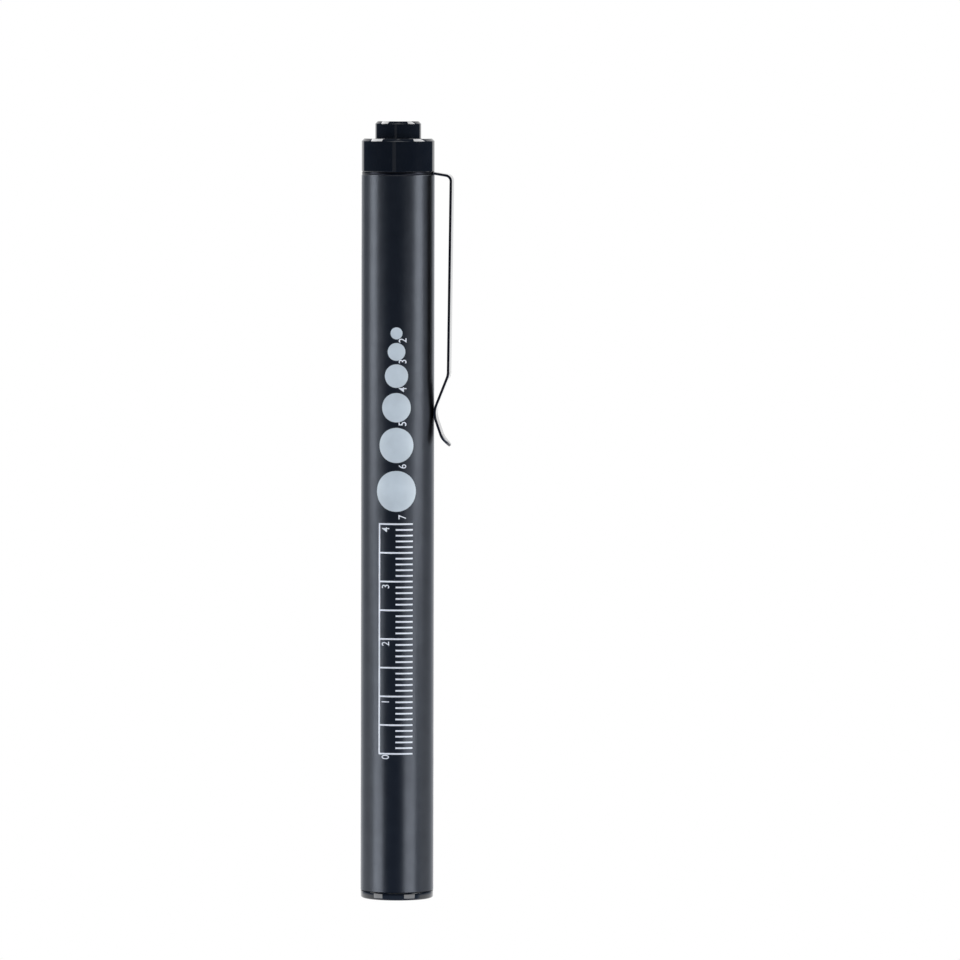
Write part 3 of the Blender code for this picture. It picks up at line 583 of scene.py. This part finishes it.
def make_lamp():
    """A 5 mm lamp: clear epoxy with a dome, and its cup, post and die inside."""
    seat = LAMP_HIGH.z - 1.0 * MM
    bottom = LAMP_LOW.z
    dome = []
    for i in range(17):
        angle = pi / 2 * i / 16
        dome.append((LAMP_RADIUS * cos(angle), bottom + LAMP_RADIUS * (1 - sin(angle))))
    corners = [
        (0, LAMP_HIGH.z),
        (LAMP_HIGH.x, LAMP_HIGH.z, 0.12 * MM),
        (LAMP_HIGH.x, seat, 0.12 * MM),
        (LAMP_RADIUS, seat),
        *dome[:-1],
        (0, bottom),
    ]
    turned("lamp_body", corners, "lamp", "barrel", "led_lamp", closed=False, steps=96)
    cup = bottom + 3.2 * MM
    top = LAMP_HIGH.z - 0.3 * MM
    cup_corners = [
        (0, top),
        (0.45 * MM, top),
        (0.45 * MM, cup + 1.6 * MM),
        (0.9 * MM, cup + 0.9 * MM),
        (0.9 * MM, cup),
        (0.7 * MM, cup),
        (0.45 * MM, cup + 0.4 * MM),
        (0, cup + 0.4 * MM),
    ]
    anvil = turned("lamp_cup", cup_corners, "steel", "barrel", closed=False, steps=48)
    anvil.data.transform(Matrix.Translation((0, CUP_OFFSET, 0)))
    middle = (0, POST_OFFSET, (top + cup) / 2 + 0.3 * MM)
    block("lamp_post", middle, (0.5 * MM, 0.4 * MM, top - cup), 0.06 * MM, "steel")
    middle = (0, CUP_OFFSET, cup + 0.3 * MM)
    block("lamp_die", middle, (0.6 * MM, 0.6 * MM, 0.15 * MM), 0.03 * MM, "die")


# ---------------------------------------------------------------- tail cap

def make_collar():
    """The gloss collar and its threaded neck, with the room inside for the switch."""
    neck = COLLAR_LOW.z
    relief = COLLAR_BOTTOM - RELIEF_LENGTH
    thread_low = neck + 0.5 * MM
    lip = COLLAR_HIGH.z - COLLAR_LIP
    ledge = WASHER_TOP + SEAT_GAP
    corners = [
        (NECK_RADIUS, relief),
        (RELIEF_RADIUS, relief, 0.08 * MM),
        (RELIEF_RADIUS, COLLAR_BOTTOM, 0.08 * MM),
        (RADIUS - EDGE, COLLAR_BOTTOM, 0.03 * MM),
        (RADIUS, COLLAR_BOTTOM + EDGE, 0.04 * MM),
        (RADIUS, COLLAR_HIGH.z - COLLAR_CHAMFER, 0.1 * MM),
        (RADIUS - COLLAR_CHAMFER, COLLAR_HIGH.z, 0.1 * MM),
        (BUTTON_BORE + EDGE, COLLAR_HIGH.z, 0.04 * MM),
        (BUTTON_BORE, COLLAR_HIGH.z - EDGE, 0.04 * MM),
        (BUTTON_BORE, lip),
        (UPPER_ROOM, lip),
        (UPPER_ROOM, ledge),
        (LOWER_ROOM, ledge),
        (LOWER_ROOM, neck, 0.08 * MM),
        (NECK_RADIUS - EDGE, neck, 0.03 * MM),
        (NECK_RADIUS, neck + EDGE, 0.06 * MM),
        (NECK_RADIUS, thread_low),
    ]
    work = bmesh.new()
    rings = revolve(work, profile(corners, closed=False), closed=False)
    ends = (THREAD_START, relief - THREAD_HALF)
    low, high = threaded_wall(work, NECK_RADIUS, thread_low, relief, *ends)
    bridge(work, rings[-1], low)
    bridge(work, high, rings[0])
    return piece("collar_shell", work, "gloss", "tail_cap", "tail_collar")


def make_button():
    flange_bottom = THIMBLE_TOP + SEAT_GAP
    flange_top = flange_bottom + BUTTON_FLANGE
    corners = [
        (0, BUTTON_HIGH.z),
        (BUTTON_RADIUS - BUTTON_CHAMFER, BUTTON_HIGH.z, 0.12 * MM),
        (BUTTON_RADIUS, BUTTON_HIGH.z - BUTTON_CHAMFER, 0.12 * MM),
        (BUTTON_RADIUS, flange_top),
        (FLANGE_RADIUS, flange_top, 0.08 * MM),
        (FLANGE_RADIUS, flange_bottom, 0.08 * MM),
        (STEM_RADIUS, flange_bottom),
        (STEM_RADIUS, BUTTON_LOW.z, 0.15 * MM),
        (0, BUTTON_LOW.z),
    ]
    return turned("button_cap", corners, "gloss", "button", "push_button", closed=False)


def coil(name, low, high, wire, radii, turns, stands_for):
    """A compression spring with closed ends, between two heights. Its radius goes from one to the other."""
    bottom = low + wire / 2
    top = high - wire / 2
    dead = wire * 1.15
    climb = top - bottom - 2 * dead
    points = []
    for i in range(turns * COIL_STEPS + 1):
        turn = i / COIL_STEPS
        share = clamp((turn - 1) / (turns - 2))
        height = bottom + dead * (min(turn, 1) + max(turn - turns + 1, 0)) + climb * share
        radius = radii[0] + (radii[1] - radii[0]) * share
        points.append(Vector((radius * cos(2 * pi * turn), radius * sin(2 * pi * turn), height)))
    work = bmesh.new()
    tube(work, points, wire / 2)
    return piece(name, work, "spring", "tail_cap", stands_for, weighted=False)


def make_springs():
    """The return spring and the battery spring, both in the tail cap; the return spring's foot rests on the
    earth washer.
    """
    low, high = RETURN_LOW.z, RETURN_HIGH.z
    radius = RETURN_HIGH.x - RETURN_WIRE / 2
    spring = coil("return_coil", low, high, RETURN_WIRE, (radius, radius), 6, "return_spring")
    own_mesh(spring)
    low, high = BATTERY_LOW.z, BATTERY_HIGH.z
    radii = (BATTERY_HIGH.x - BATTERY_WIRE / 2, BATTERY_TIP_RADIUS)
    coil("battery_coil", low, high, BATTERY_WIRE, radii, 5, "battery_spring")


# ---------------------------------------------------------------- pocket clip

def ring_reach(angle):
    """The clip ring's outer radius: round, with a square tab at +X for the arm."""
    side = abs(sin(angle))
    tab = RING_RADIUS / max(cos(angle), 0.01)
    if side > 0.001:
        tab = min(tab, CLIP_WIDTH / 2 / side)
    return max(RING_RADIUS, tab) if cos(angle) > 0 else RING_RADIUS


def make_clip_ring():
    """The ring that holds the clip, split on the far side from the arm."""
    inner = RELIEF_RADIUS + SEAT_GAP
    soft = 0.04 * MM
    start = asin(CLIP_SPLIT / 2 / inner)
    work = bmesh.new()
    sections = []
    for i in range(RING_STEPS + 1):
        angle = pi + start + (2 * pi - 2 * start) * i / RING_STEPS
        outer = ring_reach(angle)
        corners = [
            (outer, RING_HIGH.z, soft),
            (outer, RING_LOW.z, soft),
            (inner, RING_LOW.z, soft),
            (inner, RING_HIGH.z, soft),
        ]
        section = profile(corners, steps=2)
        sections.append([work.verts.new((p.x * cos(angle), p.x * sin(angle), p.y)) for p in section])
    loft(work, sections)
    # Its look is the clip's dark nickel darkened with painted shade of the seam it sits in.
    return piece("clip_band", work, "clip_ring_with_painted_shade", "clip_carrier", "clip_ring")


def clip_path():
    """The middle line of the clip's arm, as (distance from the axis, height), the same as the CAD's."""
    corners = [(RADIUS + out, CLIP_LEVEL - drop, bend) for out, drop, bend in CLIP_CORNERS]
    tip = (RADIUS + CLIP_TIP[0], CLIP_LEVEL - CLIP_TIP[1])
    return profile([(CLIP_ROOT, CLIP_LEVEL), *corners, tip], closed=False, steps=12)


def near_tip(path, reach):
    """The path with more points over its last stretch, where the strip narrows to its rounded end."""
    end = path[-1]
    kept = [point for point in path if (point - end).length > reach]
    start = kept[-1]
    extra = []
    for i in range(1, TIP_STEPS + 1):
        share = sin(pi / 2 * i / TIP_STEPS)
        extra.append(start + (end - start) * share)
    return kept + extra


def make_clip_arm():
    """The strip, with softened edges and a rounded end."""
    half = CLIP_WIDTH / 2
    thick = CLIP_THICKNESS / 2
    soft = 0.08 * MM
    path = near_tip(clip_path(), half * 0.6)
    lengths = [0.0]
    for before, after in zip(path, path[1:]):
        lengths.append(lengths[-1] + (after - before).length)
    work = bmesh.new()
    sections = []
    for i, point in enumerate(path):
        left = min((lengths[-1] - lengths[i]) / half, 1)
        wide = half * sqrt(max(1 - (1 - left) ** 2, 0.06))
        ahead = (path[min(i + 1, len(path) - 1)] - path[max(i - 1, 0)]).normalized()
        out = Vector((-ahead.y, ahead.x))
        corners = [(wide, thick, soft), (wide, -thick, soft), (-wide, -thick, soft), (-wide, thick, soft)]
        section = profile(corners, steps=3)
        places = [(point + out * p.y, p.x) for p in section]
        sections.append([work.verts.new((place.x, side, place.y)) for place, side in places])
    loft(work, sections)
    return piece("clip_strip", work, "clip", "clip", "clip_arm")


# ---------------------------------------------------------------- print

def wrap(work):
    """Wraps flat ink on the barrel: x runs round it, y up it, and z out of it."""
    for vertex in work.verts:
        angle = vertex.co.x / RADIUS + PRINT_AZIMUTH - pi / 2
        radius = RADIUS + vertex.co.z
        vertex.co = (radius * cos(angle), radius * sin(angle), vertex.co.y)


def patch(work, left, right, edges):
    """A thin solid between two sides, cut into columns; edges gives its low and high edge at a place."""
    count = max(2, ceil((right - left) / INK_STEP))
    columns = []
    for i in range(count + 1):
        place = left + (right - left) * (1 - cos(pi * i / count)) / 2
        low, high = edges(place)
        corners = [(low, INK_HEIGHT), (high, INK_HEIGHT), (high, -INK_SINK), (low, -INK_SINK)]
        columns.append([work.verts.new((place, height, out)) for height, out in corners])
    loft(work, columns)


def line(work, left, right, low, high):
    """A straight line of ink."""
    patch(work, left, right, lambda place: (low, high))


def make_pupils():
    """The pupil gauge's six filled circles."""
    work = bmesh.new()
    for size, height, _ in PUPILS:
        radius = (size * MM + PUPIL_SPREAD) / 2
        centre = height * MM

        def edges(place):
            rise = sqrt(max(radius * radius - place * place, 0)) + 0.002 * MM
            return centre - rise, centre + rise

        patch(work, -radius, radius, edges)
    wrap(work)
    return piece("pupil_circles", work, "disc_ink", "barrel", weighted=False)


def make_ruler():
    """A ruler of 4 cm: a line along its left side, a line each 5 mm and a short line each millimetre."""
    half = LINE_WIDTH / 2
    work = bmesh.new()
    line(work, RULER_LEFT - half, RULER_LEFT + half, RULER_ZERO - half, RULER_ZERO + RULER_LENGTH * MM + half)
    for tick in range(RULER_LENGTH + 1):
        height = RULER_ZERO + tick * MM
        left = RULER_LEFT + half if tick % 5 == 0 else TICK_LEFT
        line(work, left, RULER_RIGHT, height - half, height + half)
    wrap(work)
    return piece("ruler_lines", work, "line_ink", "barrel", weighted=False)


def digit(work, text, foot, height):
    """A number lying on its left side: its foot is at the right, and it reads upwards."""
    curve = bpy.data.curves.new("digit", "FONT")
    curve.body = text
    curve.align_x = "CENTER"
    curve.offset = DIGIT_BOLDNESS
    curve.resolution_u = 6
    source = bpy.data.objects.new("digit", curve)
    bpy.context.scene.collection.objects.link(source)
    bpy.context.view_layer.update()
    evaluated = source.evaluated_get(bpy.context.evaluated_depsgraph_get())
    mesh = bpy.data.meshes.new_from_object(evaluated)
    bpy.data.objects.remove(source, do_unlink=True)
    flat = bmesh.new()
    flat.from_mesh(mesh)
    low = min(v.co.y for v in flat.verts)
    scale = DIGIT_HEIGHT / (max(v.co.y for v in flat.verts) - low)
    for vertex in flat.verts:
        side = vertex.co.x * scale * DIGIT_NARROWING
        vertex.co = (foot - (vertex.co.y - low) * scale, height + side, 0)
    bmesh.ops.remove_doubles(flat, verts=flat.verts, dist=WELD)
    place = ceil(min(v.co.x for v in flat.verts) / INK_STEP) * INK_STEP
    while place < foot:
        everything = flat.verts[:] + flat.edges[:] + flat.faces[:]
        bmesh.ops.bisect_plane(flat, geom=everything, dist=1e-8, plane_co=(place, 0, 0), plane_no=(1, 0, 0))
        place += INK_STEP
    for vertex in flat.verts:
        vertex.co.z = -INK_SINK
    raised = bmesh.ops.extrude_face_region(flat, geom=flat.faces[:] + flat.edges[:] + flat.verts[:])
    lifted = [item for item in raised["geom"] if isinstance(item, bmesh.types.BMVert)]
    bmesh.ops.translate(flat, verts=lifted, vec=(0, 0, INK_HEIGHT + INK_SINK))
    finished = bpy.data.meshes.new("digit")
    flat.to_mesh(finished)
    flat.free()
    work.from_mesh(finished)


def make_numbers():
    """The numbers beside the circles, and those inside the ruler."""
    work = bmesh.new()
    for size, _, height in PUPILS:
        digit(work, str(size), PUPIL_DIGIT_FOOT, height * MM)
    for centimetre, drop in enumerate(RULER_DIGIT_DROPS):
        digit(work, str(centimetre), RULER_DIGIT_FOOT, RULER_ZERO + (centimetre * 10 - drop) * MM)
    wrap(work)
    return piece("gauge_numbers", work, "line_ink", "barrel", weighted=False)


# ---------------------------------------------------------------- inner parts that keep the CAD's shape

def finish_inner_parts():
    """Procedural materials for the CAD nodes that stay."""
    looks = {
        "led_anode_leg": "steel",
        "led_cathode_leg": "steel",
        "lamp_holder": "nylon",
        "head_contact": "brass",
        "earth_washer": "brass",
        "switch_base": "nylon",
        "contact_rivet": "brass",
        "switch_retainer": "brass",
        "moving_contact": "brass",
    }
    for cell in ("front_cell", "rear_cell"):
        looks[cell + "_can"] = "steel"
        looks[cell + "_core"] = "core"
        looks[cell + "_seal"] = "nylon"
        looks[cell + "_negative_plate"] = "steel"
        looks[cell + "_sleeve"] = "sleeve"
    for name, look in looks.items():
        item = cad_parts[name]
        if not item.material_slots:
            item.data.materials.append(LOOKS[look])
        for place in item.material_slots:
            place.material = LOOKS[look]


# ---------------------------------------------------------------- floor, light and camera

FLOOR_RADIUS = 0.3
FLOOR_DROP = 0.1 * MM

CAMERA_AZIMUTH = radians(5)      # from -Y towards +X
CAMERA_ELEVATION = radians(3.3)
CAMERA_DISTANCE = 1.5
CAMERA_LENS = 322.9
CAMERA_ROLL = radians(0.13)
AIM_SIDEWAYS = 14.35 * MM        # the view's centre is this far to the right of the light
AIM_HEIGHT = 73.0 * MM

# The surroundings that reflections show. Azimuths are from straight behind the object, on either side, and
# slopes are the Z of a direction. Each pair is where a change starts and ends.
BACKDROP = 1.1
BACKDROP_EDGE = (radians(40), radians(44))
SIDES = 0.3
SIDES_LOW = 1.1                  # the sides' brightness below the horizon
SIDES_EDGE = (radians(98), radians(112))
SIDES_TOP = (0.25, 0.4)
SIDES_TOP_LEFT = 0.1             # the share of the sides' brightness that is left above them
SIDES_GAP = -0.025               # the slope of a dark line across the sides
SIDES_GAP_EDGE = (0.018, 0.022)
FRONT = 0.04
FRONT_LOW = 0.4                  # the front's brightness below the horizon
HORIZON = (-0.12, -0.03)
TINT = (0.65, 0.85, 1.25)        # the dim surroundings' colour in reflections

LIGHT_DISTANCE = 0.5
# Strip lights: azimuth from the camera in degrees, lower and upper height, width, radiance
STRIPS = [
    (-83, 0.148, 0.4, 0.2, 6.5),
    (-83, 0.055, 0.11, 0.25, 5.9),
    (-62, -0.13, 0.0, 0.28, 4.9),
    (-12, 0.112, 0.13, 0.1, 0.22),
    (70, 0.148, 0.4, 0.22, 7),
    (70, 0.055, 0.11, 0.25, 6.3),
    (56, 0.01, 0.05, 0.14, 3),
    (41, -0.13, -0.005, 0.32, 4.6),
]
# The two boxes above and behind, for the edges of the collar and the button
REAR_AIM = Vector((0, 0, 0.13))
REAR_WAY = (0.52, 0.31, 0.80)    # towards the right one
REAR_SIZE = 0.2
REAR_RADIANCE = 9
# The soft box above the camera
FRONT_BOX_AIM = Vector((0, 0, 0.07))
FRONT_BOX_ELEVATION = radians(62)
FRONT_BOX_SIZE = 0.45
FRONT_BOX_RADIANCE = 1.7


def towards(azimuth, elevation):
    """A direction from the object: azimuth 0 is -Y, turning towards +X."""
    return Vector((sin(azimuth) * cos(elevation), -cos(azimuth) * cos(elevation), sin(elevation)))


def node(tree, kind, inputs, **settings):
    """A shader node; each input is a value or another node's output."""
    made = tree.nodes.new(kind)
    for key, value in settings.items():
        setattr(made, key, value)
    for place, value in enumerate(inputs):
        if isinstance(value, bpy.types.NodeSocket):
            tree.links.new(value, made.inputs[place])
        elif value is not None:
            made.inputs[place].default_value = value
    return made


def maths(tree, operation, *inputs):
    """A Math node's result."""
    return node(tree, "ShaderNodeMath", inputs, operation=operation).outputs[0]


def sloped(tree, value, *ends):
    """A value mapped from one range to another: from low, from high, to low, to high."""
    return node(tree, "ShaderNodeMapRange", (value, *ends)).outputs["Result"]


def make_floor():
    """A plain white floor for a camera above it; reflections and a view from below pass through."""
    bpy.ops.mesh.primitive_circle_add(vertices=128, radius=FLOOR_RADIUS, fill_type="NGON")
    disc = bpy.context.object
    disc.name = "floor"
    disc.location.z = -FLOOR_DROP
    made = bpy.data.materials.new("Floor")
    made.use_nodes = True
    tree = made.node_tree
    tree.nodes.clear()
    seen = tree.nodes.new("ShaderNodeLightPath").outputs["Is Camera Ray"]
    glow = node(tree, "ShaderNodeEmission", [])
    clear_floor = node(tree, "ShaderNodeBsdfTransparent", [])
    under = tree.nodes.new("ShaderNodeNewGeometry").outputs["Backfacing"]
    shown = maths(tree, "MULTIPLY", seen, maths(tree, "SUBTRACT", 1, under))
    layers = [shown, clear_floor.outputs["BSDF"], glow.outputs["Emission"]]
    both = node(tree, "ShaderNodeMixShader", layers)
    out = tree.nodes.new("ShaderNodeOutputMaterial")
    tree.links.new(both.outputs["Shader"], out.inputs["Surface"])
    disc.data.materials.append(made)


def make_world():
    """White for the camera. In reflections: a bright backdrop, pale sides and a dim front."""
    world = bpy.data.worlds.new("Studio")
    bpy.context.scene.world = world
    world.use_nodes = True
    tree = world.node_tree
    tree.nodes.clear()
    place = tree.nodes.new("ShaderNodeTexCoord")
    split = node(tree, "ShaderNodeSeparateXYZ", [place.outputs["Generated"]])
    azimuth = maths(tree, "ARCTAN2", split.outputs["X"], split.outputs["Y"])
    off = maths(tree, "ABSOLUTE", maths(tree, "ADD", azimuth, CAMERA_AZIMUTH))
    slope = split.outputs["Z"]
    backdrop = sloped(tree, off, *BACKDROP_EDGE, BACKDROP, 0)
    level = sloped(tree, slope, *HORIZON, SIDES_LOW, SIDES)
    sides = maths(tree, "MULTIPLY", sloped(tree, off, *SIDES_EDGE, 1, 0), level)
    gap = maths(tree, "ABSOLUTE", maths(tree, "SUBTRACT", slope, SIDES_GAP))
    sides = maths(tree, "MULTIPLY", sides, sloped(tree, gap, *SIDES_GAP_EDGE, 0, 1))
    sides = maths(tree, "MULTIPLY", sides, sloped(tree, slope, *SIDES_TOP, 1, SIDES_TOP_LEFT))
    front = sloped(tree, slope, *HORIZON, FRONT_LOW, FRONT)
    pale = maths(tree, "MAXIMUM", backdrop, sides)
    strength = maths(tree, "ADD", pale, front)
    seen = tree.nodes.new("ShaderNodeLightPath").outputs["Is Camera Ray"]
    dimmed = maths(tree, "MULTIPLY", strength, maths(tree, "SUBTRACT", 1, seen))
    colour = mixed(world, maths(tree, "MAXIMUM", pale, seen), TINT, (1, 1, 1))
    glow = node(tree, "ShaderNodeBackground", [colour, maths(tree, "ADD", dimmed, seen)])
    out = tree.nodes.new("ShaderNodeOutputWorld")
    tree.links.new(glow.outputs["Background"], out.inputs["Surface"])


def softbox(name, centre, aim, width, height, radiance):
    """A rectangular light of a given radiance, which the camera doesn't see."""
    lamp = bpy.data.lights.new(name, "AREA")
    lamp.shape = "RECTANGLE"
    lamp.size = width
    lamp.size_y = height
    lamp.energy = radiance * pi * width * height
    item = bpy.data.objects.new(name, lamp)
    item.location = centre
    item.rotation_mode = "QUATERNION"
    item.rotation_quaternion = (aim - centre).to_track_quat("-Z", "Y")
    item.visible_camera = False
    bpy.context.scene.collection.objects.link(item)


def make_lights():
    """The upright strips, the two boxes behind and the box above the camera."""
    for i, (azimuth, low, high, width, radiance) in enumerate(STRIPS):
        middle = Vector((0, 0, (low + high) / 2))
        centre = middle + towards(radians(azimuth) + CAMERA_AZIMUTH, 0) * LIGHT_DISTANCE
        softbox(f"strip_{i}", centre, middle, width, high - low, radiance)
    across, back, up = REAR_WAY
    for name, side in (("rear_left_box", -1), ("rear_right_box", 1)):
        centre = REAR_AIM + Vector((across * side, back, up)).normalized() * LIGHT_DISTANCE
        softbox(name, centre, REAR_AIM, REAR_SIZE, REAR_SIZE, REAR_RADIANCE)
    centre = FRONT_BOX_AIM + towards(CAMERA_AZIMUTH, FRONT_BOX_ELEVATION) * LIGHT_DISTANCE
    softbox("front_box", centre, FRONT_BOX_AIM, FRONT_BOX_SIZE, FRONT_BOX_SIZE, FRONT_BOX_RADIANCE)


def make_camera():
    """The camera at the photograph's viewing angle."""
    right = Vector((cos(CAMERA_AZIMUTH), sin(CAMERA_AZIMUTH), 0))
    aim = right * AIM_SIDEWAYS + Vector((0, 0, AIM_HEIGHT))
    away = towards(CAMERA_AZIMUTH, CAMERA_ELEVATION)
    camera = bpy.data.cameras.new("camera")
    camera.lens = CAMERA_LENS
    camera.sensor_width = 36
    camera.clip_start = 0.05
    camera.clip_end = 20
    item = bpy.data.objects.new("camera", camera)
    item.location = aim + away * CAMERA_DISTANCE
    item.rotation_mode = "QUATERNION"
    facing = (-away).to_track_quat("-Z", "Y")
    item.rotation_quaternion = facing @ Matrix.Rotation(CAMERA_ROLL, 3, "Z").to_quaternion()
    bpy.context.scene.collection.objects.link(item)
    bpy.context.scene.camera = item


# ---------------------------------------------------------------- build

for make in (
    make_barrel, make_bezel, make_window, make_reflector, make_lamp, make_collar, make_button, make_springs,
    make_clip_ring, make_clip_arm, make_pupils, make_ruler, make_numbers, finish_inner_parts,
    make_floor, make_world, make_lights, make_camera,
):
    make()
bpy.context.scene.view_settings.view_transform = "Standard"
